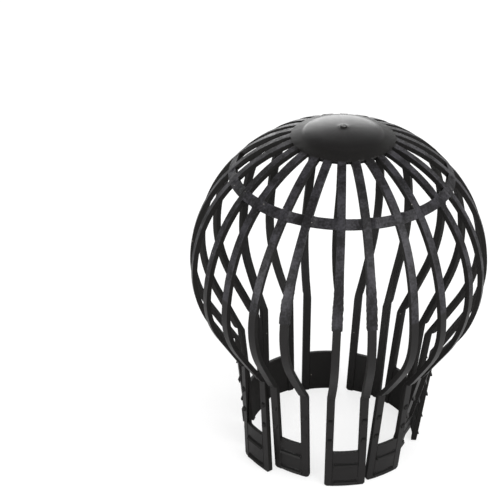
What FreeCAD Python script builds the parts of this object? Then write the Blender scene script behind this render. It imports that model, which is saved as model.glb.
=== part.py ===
import FreeCAD, Part
import math
import os

# Leaf filter for the top of a rainwater downpipe, moulded in one piece.
# Millimetres. The axis is Z, the feet stand on z = 0 and the domed crown is on top.

# Ball
ball_diameter = 130.0
equator_height = 90.8          # from the feet's ends to the widest place
underside_straight = 19.0      # straight run of each rib above the ledge
rib_thickness = 2.2

# Neck, which goes into the pipe
neck_height = 48.9             # from the feet's ends to the ledge that sits on the pipe's rim
neck_top_diameter = 90.5
neck_bottom_diameter = 78.0
ledge_width = 1.4
ledge_bevel = 0.5
leg_thickness = 2.3

# Ribs, two for each foot
foot_count = 12
rib_width = 3.5
rib_pair_at_hoop = 10.5        # between the middles of a foot's two ribs
rib_pair_at_equator = 15.0
rib_pair_at_belly = 15.2       # half-way from the widest place down to the ledge

# Hoop round the upper ball
hoop_latitude = 43.4           # degrees above the widest place
hoop_width = 4.6
hoop_thickness = 1.7

# Feet
leg_width = 3.3                # at the feet's ends; the legs leave the ledge as wide as the ribs
foot_gap_top = 5.2
foot_gap_bottom = 2.8
foot_corner = 0.9              # bevelled off the outer corners of a foot's end
plate_height = 18.8            # solid lower end, below the window
plate_thickness = 1.7

# Set that the soft feet have taken: sideways, in degrees round the axis, at the ribs' stations and the
# foot's end, and the lean outwards at the end
foot_sets = {
    0: {"belly": 0.5, "ledge": 1.5, "end": 2.5, "lean": 2.5},
    1: {"belly": 1.5, "ledge": 0.5, "lean": 0.5},
    2: {"belly": -2.0, "end": 1.5, "lean": -6.0},
    6: {"belly": 1.5, "ledge": 1.5, "end": 2.5},
    7: {"belly": 2.0, "ledge": 2.5, "end": 3.5, "lean": 2.5},
    10: {"belly": -2.0, "end": 2.0, "lean": 4.0},
    11: {"equator": -3.0, "belly": -3.0, "ledge": -2.5, "end": -4.5, "lean": -2.0},
}

# Gripping lips across each plate
lip_heights = (1.4, 11.0)
lip_width = 10.4
lip_rise = 1.8
lip_reach = 0.9

# Barbs, two on each leg
barb_heights = (24.5, 35.0)
barb_width = 1.7
barb_rise = 2.2
barb_reach = 1.0

# Crown
crown_diameter = 44.6
crown_thickness = 2.5
core_flat_diameter = 24.0      # flat in the middle of the hollow underside
pad_diameter = 34.0
pad_rise = 0.9
pad_edge_width = 3.2           # slope from the crown up to its raised pad
gate_diameter = 4.4            # scar that the moulding gate left on the pad
gate_height = 0.35
gate_taper = 0.8

# Small step by which the crown stands proud of the ribs, and the hoop and plates lie back from them
flush_step = 0.12
# How deep a rib is rooted in the crown, and a barb or lip in its leg or plate
rib_root = 2.5
small_root = 0.8
# How far a trimming outline runs past what it trims
overcut = 4.0

ball_radius = ball_diameter / 2
neck_top_radius = neck_top_diameter / 2
neck_bottom_radius = neck_bottom_diameter / 2
ledge_radius = neck_top_radius + ledge_width
pitch = 360.0 / foot_count

# The underside of the ball is an arc, upright at the widest place, and a straight run from it to the ledge
underside_drop = equator_height - neck_height
underside_inset = ball_radius - ledge_radius
underside_radius = ((underside_drop ** 2 + underside_inset ** 2 - underside_straight ** 2)
                    / (2 * underside_inset))
underside_centre = ball_radius - underside_radius


def sind(angle):
    return math.sin(math.radians(angle))


def cosd(angle):
    return math.cos(math.radians(angle))


def tand(angle):
    return math.tan(math.radians(angle))


def asind(value):
    return math.degrees(math.asin(value))


def acosd(value):
    return math.degrees(math.acos(value))


# Angle below the horizontal at which the underside's arc passes into its straight run
straight_angle = math.degrees(math.atan2(underside_drop, ledge_radius - underside_centre)
                              - math.atan2(underside_straight, underside_radius))


def foot_set(foot, place):
    return foot_sets.get(foot, {}).get(place, 0.0)


def section_point(radius, height):
    return FreeCAD.Vector(radius, 0, height)


# Point of the meridian section at a latitude, on a ball round the centre of the upper half
def ball_point(radius, latitude):
    return section_point(radius * cosd(latitude), equator_height + radius * sind(latitude))


# Outside of a foot, which tapers from the ledge to its end
def neck_radius(height, foot):
    end_radius = neck_bottom_radius + foot_set(foot, "lean")
    return end_radius + (neck_top_radius - end_radius) * height / neck_height


# Outside of the ball's underside at a height between the ledge and the widest place
def underside_outside(height):
    drop = equator_height - height
    if drop < underside_radius * sind(straight_angle):
        return underside_centre + math.sqrt(underside_radius ** 2 - drop ** 2)
    return ledge_radius + (height - neck_height) * tand(straight_angle)


def line(start, end):
    return Part.LineSegment(start, end).toShape()


def arc(start, middle, end):
    return Part.Arc(start, middle, end).toShape()


def smooth(points):
    curve = Part.BSplineCurve()
    curve.interpolate(points)
    return curve.toShape()


def closed_face(points):
    return Part.Face(Part.makePolygon(points + points[:1]))


def upper_arc(radius, start, end):
    return arc(ball_point(radius, start), ball_point(radius, (start + end) / 2), ball_point(radius, end))


def underside_point(radius, angle):
    return section_point(underside_centre + radius * cosd(angle), equator_height - radius * sind(angle))


def underside_arc(radius, start, end):
    middle = (start + end) / 2
    return arc(underside_point(radius, start), underside_point(radius, middle), underside_point(radius, end))


def revolve(face, angle=360):
    return face.revolve(FreeCAD.Vector(), FreeCAD.Vector(0, 0, 1), angle)


# Turns a shape made with its middle along +X to a place round the axis; foot 0 is at the front, on -Y
def turn(shape, azimuth):
    turned = shape.copy()
    turned.rotate(FreeCAD.Vector(), FreeCAD.Vector(0, 0, 1), azimuth - 90)
    return turned


# Where the inside of a rib's straight run meets the inside of its leg
def inner_kink(foot):
    start = underside_point(underside_radius - rib_thickness, straight_angle)
    end_radius = neck_radius(0, foot) - leg_thickness
    leg_slope = (neck_top_radius - neck_radius(0, foot)) / neck_height
    rib_slope = tand(straight_angle)
    height = (end_radius - start.x + rib_slope * start.z) / (rib_slope - leg_slope)
    return section_point(end_radius + leg_slope * height, height)


# Arched plate with the section of a foot's ribs and legs, from which each rib is trimmed
def make_arch(foot):
    inner_radius = ball_radius - rib_thickness
    root_latitude = acosd((crown_diameter / 2 - rib_root) / ball_radius)
    kink = inner_kink(foot)
    neck_top = section_point(neck_top_radius, neck_height)
    ledge_edge = section_point(ledge_radius - ledge_bevel, neck_height)
    bevel_top = section_point(ledge_radius + ledge_bevel * tand(straight_angle), neck_height + ledge_bevel)
    foot_outer = section_point(neck_radius(0, foot), 0)
    foot_inner = section_point(neck_radius(0, foot) - leg_thickness, 0)
    section = Part.Face(Part.Wire([
        line(foot_outer, neck_top),
        line(neck_top, ledge_edge),
        line(ledge_edge, bevel_top),
        line(bevel_top, underside_point(underside_radius, straight_angle)),
        underside_arc(underside_radius, straight_angle, 0),
        upper_arc(ball_radius, 0, root_latitude),
        line(ball_point(ball_radius, root_latitude), ball_point(inner_radius, root_latitude)),
        upper_arc(inner_radius, root_latitude, 0),
        underside_arc(underside_radius - rib_thickness, 0, straight_angle),
        line(underside_point(underside_radius - rib_thickness, straight_angle), kink),
        line(kink, foot_inner),
        line(foot_inner, foot_outer)]))
    half_width = ball_radius * sind(pitch / 4)
    section.translate(FreeCAD.Vector(0, -half_width, 0))
    return section.extrude(FreeCAD.Vector(0, 2 * half_width, 0))


# A station of a rib: its name, radius and height, and how far its edges lie from the foot's middle plane
def station(name, radius, height, inner, outer):
    return {"name": name, "radius": radius, "height": height, "inner": inner, "outer": outer}


def rib_station(name, radius, height, middle):
    return station(name, radius, height, middle - rib_width / 2, middle + rib_width / 2)


def leg_station(name, radius, height, gap, width):
    outer = radius * sind(pitch / 2 - asind(gap / 2 / radius))
    return station(name, radius, height, outer - width, outer)


crown_latitude = acosd(crown_diameter / 2 / ball_radius)
crown_edge = ball_point(ball_radius, crown_latitude)
hoop_middle = ball_point(ball_radius, hoop_latitude)
belly_height = (equator_height + neck_height) / 2

at_crown = rib_station("crown", crown_edge.x, crown_edge.z, crown_edge.x * sind(pitch / 4))
at_hoop = rib_station("hoop", hoop_middle.x, hoop_middle.z, rib_pair_at_hoop / 2)
at_equator = rib_station("equator", ball_radius, equator_height, rib_pair_at_equator / 2)
at_belly = rib_station("belly", underside_outside(belly_height), belly_height, rib_pair_at_belly / 2)
at_ledge = leg_station("ledge", neck_top_radius, neck_height, foot_gap_top, rib_width)
at_end = leg_station("end", neck_bottom_radius, 0, foot_gap_bottom, leg_width)


# Middle of a foot at a height of the neck, in degrees round the axis
def foot_azimuth(foot, height):
    end_set, ledge_set = foot_set(foot, "end"), foot_set(foot, "ledge")
    return pitch * foot + end_set + (ledge_set - end_set) * height / neck_height


# Ribs are trimmed and turned at an even pitch, with two to a foot
def rib_azimuth(foot, side):
    return pitch * (foot + side / 4)


# Place of a rib's edge across its arched plate, with its foot's set
def across(place, edge, foot, side):
    azimuth = pitch * foot + foot_set(foot, place["name"]) + side * asind(place[edge] / place["radius"])
    return FreeCAD.Vector(0, place["radius"] * sind(azimuth - rib_azimuth(foot, side)), place["height"])


# One edge of a rib, from above the crown down to the ledge
def rib_edge(edge, foot, side):
    places = (at_crown, at_hoop, at_equator, at_belly, at_ledge)
    points = [across(place, edge, foot, side) for place in places]
    top = points[0] + FreeCAD.Vector(0, 0, ball_radius)
    return [line(top, points[0]), smooth(points)], top, points[-1]


# Rib and leg in one, trimmed to their outline across the arched plate
def make_rib(arch, foot, side):
    inner, inner_top, inner_ledge = rib_edge("inner", foot, side)
    outer, outer_top, outer_ledge = rib_edge("outer", foot, side)
    inner_end = across(at_end, "inner", foot, side)
    outer_end = across(at_end, "outer", foot, side)
    past = FreeCAD.Vector(0, 0, -overcut)
    corner_start = outer_end + (outer_ledge - outer_end) * (foot_corner / neck_height)
    corner_end = outer_end - FreeCAD.Vector(0, side * foot_corner, 0)
    legs = [line(inner_ledge, inner_end), line(inner_end, inner_end + past),
            line(inner_end + past, corner_end + past), line(corner_end + past, corner_end),
            line(corner_end, corner_start), line(corner_start, outer_ledge)]
    face = Part.Face(Part.Wire(inner + legs + outer[::-1] + [line(outer_top, inner_top)]))
    face.translate(FreeCAD.Vector(overcut, 0, 0))
    prism = face.extrude(FreeCAD.Vector(ball_radius, 0, 0))
    return turn(arch.common(prism), rib_azimuth(foot, side))


# Flat band round the ball; its edges stand square to the wall
def make_hoop():
    half_angle = math.degrees(hoop_width / 2 / ball_radius)
    outside = ball_radius - flush_step
    inside = outside - hoop_thickness
    low, high = hoop_latitude - half_angle, hoop_latitude + half_angle
    return revolve(closed_face([ball_point(outside, low), ball_point(outside, high),
                                ball_point(inside, high), ball_point(inside, low)]))


# Solid lower end between a foot's legs
def make_plate(foot):
    half_angle = asind((at_end["inner"] + at_end["outer"]) / 2 / neck_bottom_radius)
    low, high = neck_radius(0, foot) - flush_step, neck_radius(plate_height, foot) - flush_step
    face = closed_face([section_point(low, 0), section_point(high, plate_height),
                        section_point(high - plate_thickness, plate_height),
                        section_point(low - plate_thickness, 0)])
    face.rotate(FreeCAD.Vector(), FreeCAD.Vector(0, 0, 1), -half_angle)
    return turn(revolve(face, 2 * half_angle), foot_azimuth(foot, plate_height / 2))


# Wedge on a foot's outside, sloped above and square below, with its middle along +X
def make_wedge(foot, height, width, rise, reach):
    bottom = neck_radius(height, foot)
    top = neck_radius(height + rise, foot)
    wedge = closed_face([section_point(bottom - small_root, height),
                         section_point(bottom + reach, height),
                         section_point(top, height + rise),
                         section_point(top - small_root, height + rise)])
    wedge.translate(FreeCAD.Vector(0, -width / 2, 0))
    return wedge.extrude(FreeCAD.Vector(0, width, 0))


def make_lip(foot, height):
    return turn(make_wedge(foot, height, lip_width, lip_rise, lip_reach), foot_azimuth(foot, height))


def make_barb(foot, side, height):
    barb = make_wedge(foot, height, barb_width, barb_rise, barb_reach)
    ledge_middle = (across(at_ledge, "inner", foot, side) + across(at_ledge, "outer", foot, side)) / 2
    end_middle = (across(at_end, "inner", foot, side) + across(at_end, "outer", foot, side)) / 2
    middle = end_middle + (ledge_middle - end_middle) * (height / neck_height)
    barb.translate(FreeCAD.Vector(0, middle.y, 0))
    return turn(barb, rib_azimuth(foot, side))


# Domed crown, hollow underneath, with its raised pad and the low scar of the moulding gate
def make_crown():
    outside = ball_radius + flush_step
    core_edge = ball_point(outside - crown_thickness, crown_latitude)
    core_height = ball_point(outside - crown_thickness, 90).z
    pad_radius = outside + pad_rise
    pad_latitude = acosd((pad_diameter - pad_edge_width) / 2 / pad_radius)
    slope_latitude = acosd((pad_diameter + pad_edge_width) / 2 / outside)
    dome = revolve(Part.Face(Part.Wire([
        line(ball_point(outside, crown_latitude), ball_point(outside, slope_latitude)),
        line(ball_point(outside, slope_latitude), ball_point(pad_radius, pad_latitude)),
        upper_arc(pad_radius, pad_latitude, 90),
        line(ball_point(pad_radius, 90), section_point(0, core_height)),
        line(section_point(0, core_height), section_point(core_flat_diameter / 2, core_height)),
        line(section_point(core_flat_diameter / 2, core_height), core_edge),
        line(core_edge, ball_point(outside, crown_latitude))])))
    gate_base = ball_point(pad_radius, 90) - FreeCAD.Vector(0, 0, small_root)
    gate = Part.makeCone(gate_diameter / 2, gate_diameter / 2 - gate_taper,
                         small_root + gate_height, gate_base)
    return dome.fuse(gate)


feet = range(foot_count)
sides = (-1, 1)
arches = [make_arch(foot) for foot in feet]
ribs = [make_rib(arches[foot], foot, side) for foot in feet for side in sides]
plates = [make_plate(foot) for foot in feet]
lips = [make_lip(foot, height) for foot in feet for height in lip_heights]
barbs = [make_barb(foot, side, height) for foot in feet for side in sides for height in barb_heights]

leaf_filter = make_crown().fuse([make_hoop()] + ribs + plates + lips + barbs).removeSplitter()

solid = leaf_filter.Solids[0]
os.makedirs("parts", exist_ok=True)
solid.exportStep("parts/leaf_filter.step")
print("solids", len(leaf_filter.Solids), "valid", solid.isValid(), "volume", round(solid.Volume, 1))
print("box", solid.BoundBox)
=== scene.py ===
import math

import bmesh
import bpy
from mathutils import Matrix, Vector, noise


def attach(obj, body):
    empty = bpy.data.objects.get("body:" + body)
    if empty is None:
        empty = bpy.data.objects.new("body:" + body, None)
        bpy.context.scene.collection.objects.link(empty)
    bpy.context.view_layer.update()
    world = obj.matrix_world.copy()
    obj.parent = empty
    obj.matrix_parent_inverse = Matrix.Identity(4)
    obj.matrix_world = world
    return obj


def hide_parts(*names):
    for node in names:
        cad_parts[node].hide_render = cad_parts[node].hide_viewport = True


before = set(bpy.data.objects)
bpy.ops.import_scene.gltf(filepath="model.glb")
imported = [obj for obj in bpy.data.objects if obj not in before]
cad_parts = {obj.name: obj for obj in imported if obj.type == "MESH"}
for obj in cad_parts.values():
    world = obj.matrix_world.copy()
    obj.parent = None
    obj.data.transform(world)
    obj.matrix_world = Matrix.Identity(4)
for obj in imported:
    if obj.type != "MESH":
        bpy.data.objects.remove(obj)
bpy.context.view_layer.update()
mm = 0.001  # sizes below are written in millimetres
print("frame loaded:", sorted(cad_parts))


def linearColour(hexText):
    channels = [int(hexText[i:i + 2], 16) / 255 for i in (1, 3, 5)]
    return [c / 12.92 if c <= 0.04045 else ((c + 0.055) / 1.055) ** 2.4 for c in channels] + [1.0]


# adds a node, sets its fields and values, and links its inputs: a link is (node, output)
# sockets that share a name go by number: a Mix node has its factor at i0, its numbers at i2 and i3
# with output 0, and its colours at i6 and i7 with output 2
def addNode(tree, kind, fields=None, **inputs):
    node = tree.nodes.new("ShaderNode" + kind)
    for name, value in (fields or {}).items():
        setattr(node, name, value)
    for name, value in inputs.items():
        key = int(name[1:]) if name[0] == "i" and name[1:].isdigit() else name.replace("_", " ")
        socket = node.inputs[key]
        if isinstance(value, tuple) and isinstance(value[0], bpy.types.Node):
            tree.links.new(value[0].outputs[value[1]], socket)
        else:
            socket.default_value = value
    return node


def newMaterial(name):
    material = bpy.data.materials.new(name)
    material.use_nodes = True
    tree = material.node_tree
    tree.nodes.clear()
    return material, tree


# the moulding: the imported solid, welded, with the small radii that a mould leaves along its edges
shell = {
    "weld": 0.002 * mm,
    "flushStep": 0.2 * mm,  # points this near are merged, where hoop, plates and crown run into the ribs
    "flatWithin": math.radians(0.8),  # flatter neighbours become one facet
    "sharpFrom": math.radians(35),
    "edgeRadius": 0.2 * mm,
    "edgeSegments": 2,
    "narrowest": 0.3 * mm,  # narrower facets are steps between flush forms, shaded through, not rounded
    "ballMiddle": Vector((0.0, 0.0, 90.8)) * mm,
    "outwardFrom": 0.5,  # how squarely a face looks out of the ball before it takes the outside's finish
    "outwardBlend": 0.3,
    "neckTop": 48.0 * mm,
    "lipSlope": 0.3,  # steeper faces on the neck belong to the lips and barbs, which are duller and take the darker side colour as painted shade
    "sillHeight": 18.8 * mm,  # the windows' sills get no painted crease shade
    "sillMargin": 1.0 * mm,
    "inwardFrom": -0.2,  # faces that look further inwards get no painted crease shade
    "partingHeight": 95.0 * mm,
    "flashWidth": 0.55 * mm,  # how far the upper half of the mould stands over at the parting line
    "flashRise": 24.0 * mm,
    "flashStep": 0.7 * mm,  # distance between the cuts that carry the flash
    "flashLedge": 0.1 * mm,  # height of the step at the parting line itself
    "flashGrain": 1.3 * mm,
    "flashEven": 0.85,
    "flashRagged": 0.6,
    "flashFade": 1.6,  # full width over the lowest three eighths of the rise, then thinner
    "flashMiddle": math.radians(-7),  # most of it is on three ribs at the front
    "flashSpread": math.radians(26),
    "flashElsewhere": 0.15,
    "cutWithin": 0.01 * mm,  # points this near a cut are taken to lie on it
}


def facetWidth(face):
    return 2 * face.calc_area() / max(edge.calc_length() for edge in face.edges)


def widthBeside(edge):
    return min(facetWidth(face) for face in edge.link_faces)


def reportShell(stage, bm):
    openEdges = sum(1 for edge in bm.edges if not edge.is_manifold)
    print(stage, len(bm.verts), "points,", len(bm.faces), "facets,", openEdges, "open edges")


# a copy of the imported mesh, its loose triangles joined and its flat places made single facets
def weldedCopy():
    bm = bmesh.new()
    bm.from_mesh(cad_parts["leaf_filter"].data)
    for reach in (shell["weld"], shell["flushStep"]):
        bmesh.ops.remove_doubles(bm, verts=bm.verts, dist=reach)
        bmesh.ops.dissolve_degenerate(bm, edges=bm.edges, dist=shell["weld"])
    bmesh.ops.dissolve_limit(bm, angle_limit=shell["flatWithin"], use_dissolve_boundaries=False,
                             verts=bm.verts, edges=bm.edges)
    reportShell("welded shell:", bm)
    return bm


def roundEdges(bm):
    corners = [edge for edge in bm.edges
               if edge.calc_face_angle() > shell["sharpFrom"] and widthBeside(edge) > shell["narrowest"]]
    bmesh.ops.bevel(bm, geom=corners, offset=shell["edgeRadius"], offset_type="OFFSET", affect="EDGES",
                    segments=shell["edgeSegments"], profile=0.5, material=-1, clamp_overlap=False,
                    loop_slide=True)


# above the parting line the ribs are a little wider, with ragged flash that fades out upwards
def addFlash(bm):
    cuts = [-shell["flashLedge"]]
    cuts += [row * shell["flashStep"] for row in range(int(shell["flashRise"] / shell["flashStep"]))]
    for cut in cuts:
        bmesh.ops.bisect_plane(bm, geom=bm.verts[:] + bm.edges[:] + bm.faces[:], dist=shell["cutWithin"],
                               plane_co=(0, 0, shell["partingHeight"] + cut), plane_no=(0, 0, 1))
    bm.normal_update()
    moves = []
    for vert in bm.verts:
        rise = (vert.co.z - shell["partingHeight"]) / shell["flashRise"]
        if -1e-6 < rise < 1:
            sideways = Vector((-vert.co.y, vert.co.x, 0)).normalized()
            offFront = abs(math.atan2(vert.co.x, -vert.co.y) - shell["flashMiddle"])
            local = 1.0 if offFront / shell["flashSpread"] < 1 else shell["flashElsewhere"]
            ragged = shell["flashEven"] + shell["flashRagged"] * noise.noise(vert.co / shell["flashGrain"])
            reach = shell["flashWidth"] * local * ragged * min(1.0, shell["flashFade"] * (1 - rise))
            moves.append((vert, sideways * vert.normal.dot(sideways) * reach))
    for vert, move in moves:
        vert.co += move
    print("flash:", len(moves), "points moved")


def shadeEdges(bm):
    for face in bm.faces:
        face.smooth = True
    for edge in bm.edges:
        shallow = widthBeside(edge) < shell["narrowest"]
        edge.smooth = shallow or edge.calc_face_angle() < shell["sharpFrom"]


# outward, for each face: 1 where it looks out of the ball or the neck, 0 on sides and inside, and 0 on the
# lips and barbs, where the darker side colour is painted shade
# the second list, for each corner: 1 in the crease where a lip or barb meets the foot, which the material
# darkens there as painted shade
def surfaceMarks(bm):
    outward = []
    grime = []
    for face in bm.faces:
        middle = face.calc_center_median()
        fromBall = middle - shell["ballMiddle"]
        fromBall.z = max(fromBall.z, 0.0)
        looksOut = face.normal.dot(fromBall.normalized())
        onLip = middle.z < shell["neckTop"] and abs(face.normal.z) > shell["lipSlope"]
        share = (looksOut - shell["outwardFrom"]) / shell["outwardBlend"]
        # lips and barbs get 0, so the darker side colour on them is painted shade
        outward.append(0.0 if onLip else max(0.0, min(1.0, share)))
        offSill = abs(middle.z - shell["sillHeight"]) > shell["sillMargin"]
        # corners in the crease above a lip or barb are marked for a near-black line of painted shade
        inShadedCrease = onLip and offSill and face.normal.z > 0 and looksOut > shell["inwardFrom"]
        grime.extend(1.0 if inShadedCrease and loop.vert.co.z > middle.z else 0.0 for loop in face.loops)
    bm.faces.index_update()
    finish = list(outward)  # a narrow facet takes the finish of the faces beside it
    for face in bm.faces:
        if facetWidth(face) < shell["narrowest"]:
            beside = [other.index for edge in face.edges for other in edge.link_faces]
            finish[face.index] = max(outward[index] for index in beside)
    return finish, grime


def mouldedShell():
    bm = weldedCopy()
    roundEdges(bm)
    addFlash(bm)
    bmesh.ops.dissolve_degenerate(bm, edges=bm.edges, dist=shell["weld"])
    shadeEdges(bm)
    reportShell("rounded shell:", bm)
    outward, grime = surfaceMarks(bm)
    mesh = bpy.data.meshes.new("leafFilterShell")
    bm.to_mesh(mesh)
    bm.free()
    mesh.attributes.new("outward", "FLOAT", "FACE").data.foreach_set("value", outward)
    mesh.attributes.new("grime", "FLOAT", "CORNER").data.foreach_set("value", grime)
    piece = bpy.data.objects.new("leafFilterShell", mesh)
    bpy.context.scene.collection.objects.link(piece)
    normals = piece.modifiers.new("faceNormals", "WEIGHTED_NORMAL")
    normals.keep_sharp = True
    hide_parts("leaf_filter")
    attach(piece, "root")
    return piece


# black polypropylene, injection moulded: the polished half of the mould leaves a satin skin on the crown
# and the feet, and the spark-eroded half leaves a mottled grey grain on the outsides of the ribs above
# the parting line
plastic = {
    "ior": 1.49,
    "specular": 0.2,
    "blend": 1.5 * mm,  # how softly one finish passes into the next
    "sideColour": "#151413",  # sides and insides of the ribs; on the lips and barbs this colour is painted shade
    "sideRoughness": 0.55,
    "satinColour": "#1b1a1a",
    "satinRoughness": 0.32,
    "crownRadius": 22.3 * mm,
    "padRadius": 16.6 * mm,
    "brimDull": 0.75,  # the crown's brim is duller than its raised pad
    "partingRagged": 1.0 * mm,
    "partingDetail": 2.0,
    "grainColour": "#161516",
    "grainRoughness": 0.52,
    "grainSize": 0.9 * mm,  # the real pits are near 0.2 mm, drawn coarser so that they show
    "grainDepth": 0.12 * mm,
    "grainStrength": 0.8,
    "grainNoise": {"Detail": 3.0, "Roughness": 0.6},
    "grainSpan": {"From_Min": 0.36, "From_Max": 0.66, "To_Min": -0.35, "To_Max": 0.35},
    "patchColour": "#343337",
    "patchRoughness": 0.37,
    "patchSize": 8.0 * mm,
    "patchNoise": {"Detail": 4.0, "Roughness": 0.65},
    "patchSpan": {"From_Min": 0.38, "From_Max": 0.68},
    "handlingSpan": {"From_Min": 0.3, "From_Max": 0.7, "To_Min": -0.04, "To_Max": 0.04},
    # near-black painted shade along the crease where each lip and barb meets the foot
    "creaseShadeColour": "#020202",
    "creaseShadeRoughness": 0.85,
    "creaseShadeSpan": {"From_Min": 0.4, "From_Max": 0.7},  # keeps the painted shade close to the crease
    "dustColour": "#7d7a74",
    "dustSpacing": 7.0 * mm,
    "dustSize": 0.22 * mm,
    "gateColour": "#3a3836",
    "gateInner": 1.32 * mm,  # radius up to which the plug is fully torn
    "gateOuter": 3.3 * mm,
    "gateHeight": 154.0 * mm,
    "gateDepth": 2.0,  # times the depth of the grain
    "gateSpan": {"From_Min": 0.56, "From_Max": 0.68},
}


def polypropylene():
    material, tree = newMaterial("mouldedPolypropylene")
    soft = {"interpolation_type": "SMOOTHSTEP"}
    times = {"operation": "MULTIPLY"}
    timesPlus = {"operation": "MULTIPLY_ADD"}
    minus = {"operation": "SUBTRACT"}
    colours = {"data_type": "RGBA"}
    place = addNode(tree, "TexCoord")
    parts = addNode(tree, "SeparateXYZ", Vector=(place, "Object"))
    flat = addNode(tree, "CombineXYZ", X=(parts, "X"), Y=(parts, "Y"))
    fromAxis = addNode(tree, "VectorMath", {"operation": "LENGTH"}, i0=(flat, "Vector"))
    outward = addNode(tree, "Attribute", {"attribute_name": "outward"})
    crease = addNode(tree, "Attribute", {"attribute_name": "grime"})
    grime = addNode(tree, "MapRange", Value=(crease, "Fac"), **plastic["creaseShadeSpan"])

    # where the grain is: outsides of the ribs and the hoop, above the parting line, not on the crown
    ragged = addNode(tree, "TexNoise", Vector=(place, "Object"), Scale=1 / plastic["partingRagged"],
                     Detail=plastic["partingDetail"])
    raggedZ = addNode(tree, "Math", timesPlus, i0=(ragged, "Fac"), i1=plastic["partingRagged"],
                      i2=(parts, "Z"))
    above = addNode(tree, "MapRange", soft, Value=(raggedZ, "Value"), From_Min=shell["partingHeight"],
                    From_Max=shell["partingHeight"] + plastic["blend"])
    offCrown = addNode(tree, "MapRange", soft, Value=(fromAxis, "Value"), From_Min=plastic["crownRadius"],
                       From_Max=plastic["crownRadius"] + plastic["blend"])
    aboveOff = addNode(tree, "Math", times, i0=(above, "Result"), i1=(offCrown, "Result"))
    grained = addNode(tree, "Math", times, i0=(aboveOff, "Value"), i1=(outward, "Fac"))

    # where the skin is polished: outsides, but less so on the brim round the crown's pad
    offPad = addNode(tree, "MapRange", soft, Value=(fromAxis, "Value"), From_Min=plastic["padRadius"],
                     From_Max=plastic["padRadius"] + plastic["blend"])
    brim = addNode(tree, "Math", minus, i0=(offPad, "Result"), i1=(offCrown, "Result"))
    dull = addNode(tree, "Math", times, i0=(brim, "Value"), i1=plastic["brimDull"])
    polished = addNode(tree, "Math", {**minus, "use_clamp": True}, i0=(outward, "Fac"), i1=(dull, "Value"))

    # pits, and larger patches where the tool was eroded more
    pits = addNode(tree, "TexNoise", Vector=(place, "Object"), Scale=1 / plastic["grainSize"],
                   **plastic["grainNoise"])
    patches = addNode(tree, "TexNoise", Vector=(place, "Object"), Scale=1 / plastic["patchSize"],
                      **plastic["patchNoise"])
    pitTone = addNode(tree, "MapRange", Value=(pits, "Fac"), **plastic["grainSpan"])
    patchTone = addNode(tree, "MapRange", Value=(patches, "Fac"), **plastic["patchSpan"])
    patchAmount = addNode(tree, "Math", {"operation": "ADD", "use_clamp": True}, i0=(pitTone, "Result"),
                          i1=(patchTone, "Result"))

    # a few specks of dust, and the rough plug where the gate was snapped off
    cells = addNode(tree, "TexVoronoi", Vector=(place, "Object"), Scale=1 / plastic["dustSpacing"])
    speck = addNode(tree, "Math", {"operation": "LESS_THAN"}, i0=(cells, "Distance"),
                    i1=plastic["dustSize"] / plastic["dustSpacing"])
    nearGate = addNode(tree, "MapRange", soft, Value=(fromAxis, "Value"), From_Min=plastic["gateOuter"],
                       From_Max=plastic["gateInner"])
    onTop = addNode(tree, "Math", {"operation": "GREATER_THAN"}, i0=(parts, "Z"), i1=plastic["gateHeight"])
    gate = addNode(tree, "Math", times, i0=(nearGate, "Result"), i1=(onTop, "Value"))
    torn = addNode(tree, "MapRange", Value=(pits, "Fac"), **plastic["gateSpan"])

    # colour: the skin, then the painted shade in the lips' creases, the dust and the gate's plug on it
    grainMix = addNode(tree, "Mix", colours, i0=(patchAmount, "Value"),
                       i6=linearColour(plastic["grainColour"]), i7=linearColour(plastic["patchColour"]))
    satin = addNode(tree, "Mix", colours, i0=(polished, "Value"),
                    i6=linearColour(plastic["sideColour"]), i7=linearColour(plastic["satinColour"]))
    gateMix = addNode(tree, "Mix", colours, i0=(torn, "Result"),
                      i6=linearColour(plastic["sideColour"]), i7=linearColour(plastic["gateColour"]))
    skin = addNode(tree, "Mix", colours, i0=(grained, "Value"), i6=(satin, 2), i7=(grainMix, 2))
    creaseShadedColour = addNode(tree, "Mix", colours, i0=(grime, "Result"), i6=(skin, 2),
                    i7=linearColour(plastic["creaseShadeColour"]))
    dusty = addNode(tree, "Mix", colours, i0=(speck, "Value"), i6=(creaseShadedColour, 2),
                    i7=linearColour(plastic["dustColour"]))
    colour = addNode(tree, "Mix", colours, i0=(gate, "Value"), i6=(dusty, 2), i7=(gateMix, 2))

    # gloss, a little uneven from handling, and the depth of the pits
    handling = addNode(tree, "MapRange", Value=(patches, "Fac"), **plastic["handlingSpan"])
    skinRough = addNode(tree, "MapRange", Value=(polished, "Value"), To_Min=plastic["sideRoughness"],
                        To_Max=plastic["satinRoughness"])
    satinRough = addNode(tree, "Math", {"operation": "ADD"}, i0=(skinRough, "Result"),
                         i1=(handling, "Result"))
    grainRough = addNode(tree, "MapRange", Value=(patchAmount, "Value"), To_Min=plastic["grainRoughness"],
                         To_Max=plastic["patchRoughness"])
    cleanRough = addNode(tree, "Mix", i0=(grained, "Value"), i2=(satinRough, "Value"),
                         i3=(grainRough, "Result"))
    rough = addNode(tree, "Mix", i0=(grime, "Result"), i2=(cleanRough, 0), i3=plastic["creaseShadeRoughness"])
    uneven = addNode(tree, "Math", timesPlus, i0=(gate, "Value"), i1=plastic["gateDepth"],
                     i2=(grained, "Value"))
    pitDepth = addNode(tree, "Math", times, i0=(pits, "Fac"), i1=(uneven, "Value"))
    bump = addNode(tree, "Bump", Strength=plastic["grainStrength"], Distance=plastic["grainDepth"],
                   Height=(pitDepth, "Value"))
    shader = addNode(tree, "BsdfPrincipled", Base_Color=(colour, 2), Roughness=(rough, 0),
                     IOR=plastic["ior"], Specular_IOR_Level=plastic["specular"], Normal=(bump, "Normal"))
    addNode(tree, "OutputMaterial", Surface=(shader, "BSDF"))
    return material


filterShell = mouldedShell()
filterShell.data.materials.append(polypropylene())
print("shell ready")

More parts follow.
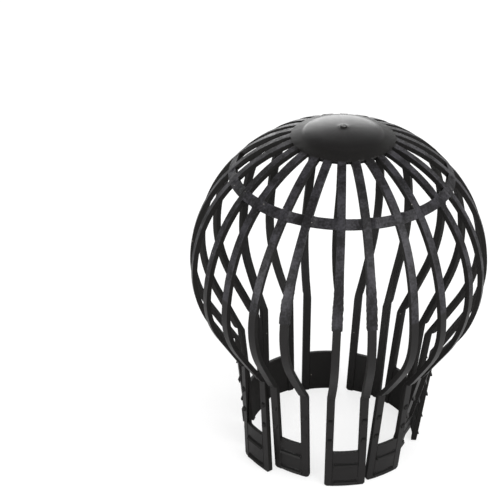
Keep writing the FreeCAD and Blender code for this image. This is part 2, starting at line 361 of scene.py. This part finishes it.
# a white room: reflections see it dim in front and overhead, the camera sees it plain white
studio = {
    "white": "#ffffff",
    "floorSize": 6000 * mm,
    "floorColour": "#b4b4b4",
    "floorRoughness": 0.9,
    "floorWhite": 0.7,  # how far the floor is plain white to the eye, the rest carries the shadow
    "worldLight": 0.85,
    "ceilingSpan": {"From_Min": 0.25, "From_Max": 0.85, "To_Min": 1.0, "To_Max": 0.05},
    "frontSpan": {"From_Min": 0.1, "From_Max": 0.95, "To_Min": 0.08, "To_Max": 1.0},
}


def makeFloor():
    bm = bmesh.new()
    bmesh.ops.create_grid(bm, x_segments=1, y_segments=1, size=studio["floorSize"] / 2)
    mesh = bpy.data.meshes.new("studioFloor")
    bm.to_mesh(mesh)
    bm.free()
    floor = bpy.data.objects.new("studioFloor", mesh)
    bpy.context.scene.collection.objects.link(floor)
    material, tree = newMaterial("paleFloor")
    path = addNode(tree, "LightPath")
    paperColour = addNode(tree, "Mix", {"data_type": "RGBA"}, i0=(path, "Is Camera Ray"),
                          i6=linearColour(studio["floorColour"]), i7=linearColour(studio["white"]))
    paper = addNode(tree, "BsdfPrincipled", Base_Color=(paperColour, 2), Roughness=studio["floorRoughness"])
    white = addNode(tree, "Emission", Color=linearColour(studio["white"]), Strength=1.0)
    share = addNode(tree, "Math", {"operation": "MULTIPLY"}, i0=(path, "Is Camera Ray"),
                    i1=studio["floorWhite"])
    surface = addNode(tree, "MixShader", i0=(share, "Value"), i1=(paper, "BSDF"), i2=(white, "Emission"))
    addNode(tree, "OutputMaterial", Surface=(surface, "Shader"))
    mesh.materials.append(material)


def makeWorld():
    world = bpy.data.worlds.new("studioWorld")
    bpy.context.scene.world = world
    world.use_nodes = True
    tree = world.node_tree
    tree.nodes.clear()
    soft = {"interpolation_type": "SMOOTHSTEP"}
    path = addNode(tree, "LightPath")
    place = addNode(tree, "TexCoord")
    parts = addNode(tree, "SeparateXYZ", Vector=(place, "Generated"))
    ceiling = addNode(tree, "MapRange", soft, Value=(parts, "Z"), **studio["ceilingSpan"])
    front = addNode(tree, "MapRange", soft, Value=(parts, "Y"), **studio["frontSpan"])
    shade = addNode(tree, "Math", {"operation": "MULTIPLY"}, i0=(ceiling, "Result"), i1=(front, "Result"))
    lit = addNode(tree, "MapRange", Value=(path, "Is Glossy Ray"), To_Min=studio["worldLight"],
                  To_Max=(shade, "Value"))
    strength = addNode(tree, "MapRange", Value=(path, "Is Camera Ray"), To_Min=(lit, "Result"), To_Max=1.0)
    background = addNode(tree, "Background", Color=linearColour(studio["white"]),
                         Strength=(strength, "Result"))
    addNode(tree, "OutputWorld", Surface=(background, "Background"))


# softboxes: a wide one low behind the object, and one to each side in front of it
lamps = [
    {"name": "backSoftbox", "place": (0.0, 1400.0, 330.0), "size": 900.0, "watts": 7.0},
    {"name": "leftSoftbox", "place": (-900.0, -720.0, 260.0), "size": 600.0, "watts": 10.0},
    {"name": "rightSoftbox", "place": (760.0, -740.0, 680.0), "size": 1400.0, "watts": 19.0},
]


def makeLamps(target):
    for lamp in lamps:
        data = bpy.data.lights.new(lamp["name"], "AREA")
        data.shape = "DISK"
        data.size = lamp["size"] * mm
        data.energy = lamp["watts"]
        light = bpy.data.objects.new(lamp["name"], data)
        light.location = Vector(lamp["place"]) * mm
        light.rotation_euler = (target - light.location).to_track_quat("-Z", "Y").to_euler()
        bpy.context.scene.collection.objects.link(light)


# where the photograph was taken from, seen from the ball's middle
view = {
    "distance": 868.73 * mm,
    "azimuth": math.radians(-7.164),
    "elevation": math.radians(29.729),
    "pan": math.radians(2.945),
    "tilt": math.radians(-0.272),
    "roll": math.radians(-0.877),
    "focalPixels": 1977.73,
    "imagePixels": 500,
    "sensor": 36.0,  # Blender takes this one in millimetres
    "clipStart": 10 * mm,
}


def makeCamera(target):
    azimuth, elevation = view["azimuth"], view["elevation"]
    outward = Vector((math.sin(azimuth) * math.cos(elevation), -math.cos(azimuth) * math.cos(elevation),
                      math.sin(elevation)))
    place = target + outward * view["distance"]
    forward = Matrix.Rotation(view["pan"], 3, "Z") @ -outward
    right = forward.cross(Vector((0, 0, 1))).normalized()
    down = forward.cross(right)
    forward = (forward * math.cos(view["tilt"]) + down * math.sin(view["tilt"])).normalized()
    down = forward.cross(right)
    right = right * math.cos(view["roll"]) + down * math.sin(view["roll"])
    down = forward.cross(right)
    camera = bpy.data.objects.new("photoCamera", bpy.data.cameras.new("photoCamera"))
    camera.data.sensor_width = view["sensor"]
    camera.data.lens = view["focalPixels"] / view["imagePixels"] * view["sensor"]
    camera.data.clip_start = view["clipStart"]
    turn = Matrix((right, -down, -forward)).transposed()
    camera.matrix_world = Matrix.Translation(place) @ turn.to_4x4()
    bpy.context.scene.collection.objects.link(camera)
    bpy.context.scene.camera = camera


makeFloor()
makeWorld()
makeLamps(shell["ballMiddle"])
makeCamera(shell["ballMiddle"])
bpy.context.scene.view_settings.view_transform = "Standard"
print("studio ready")
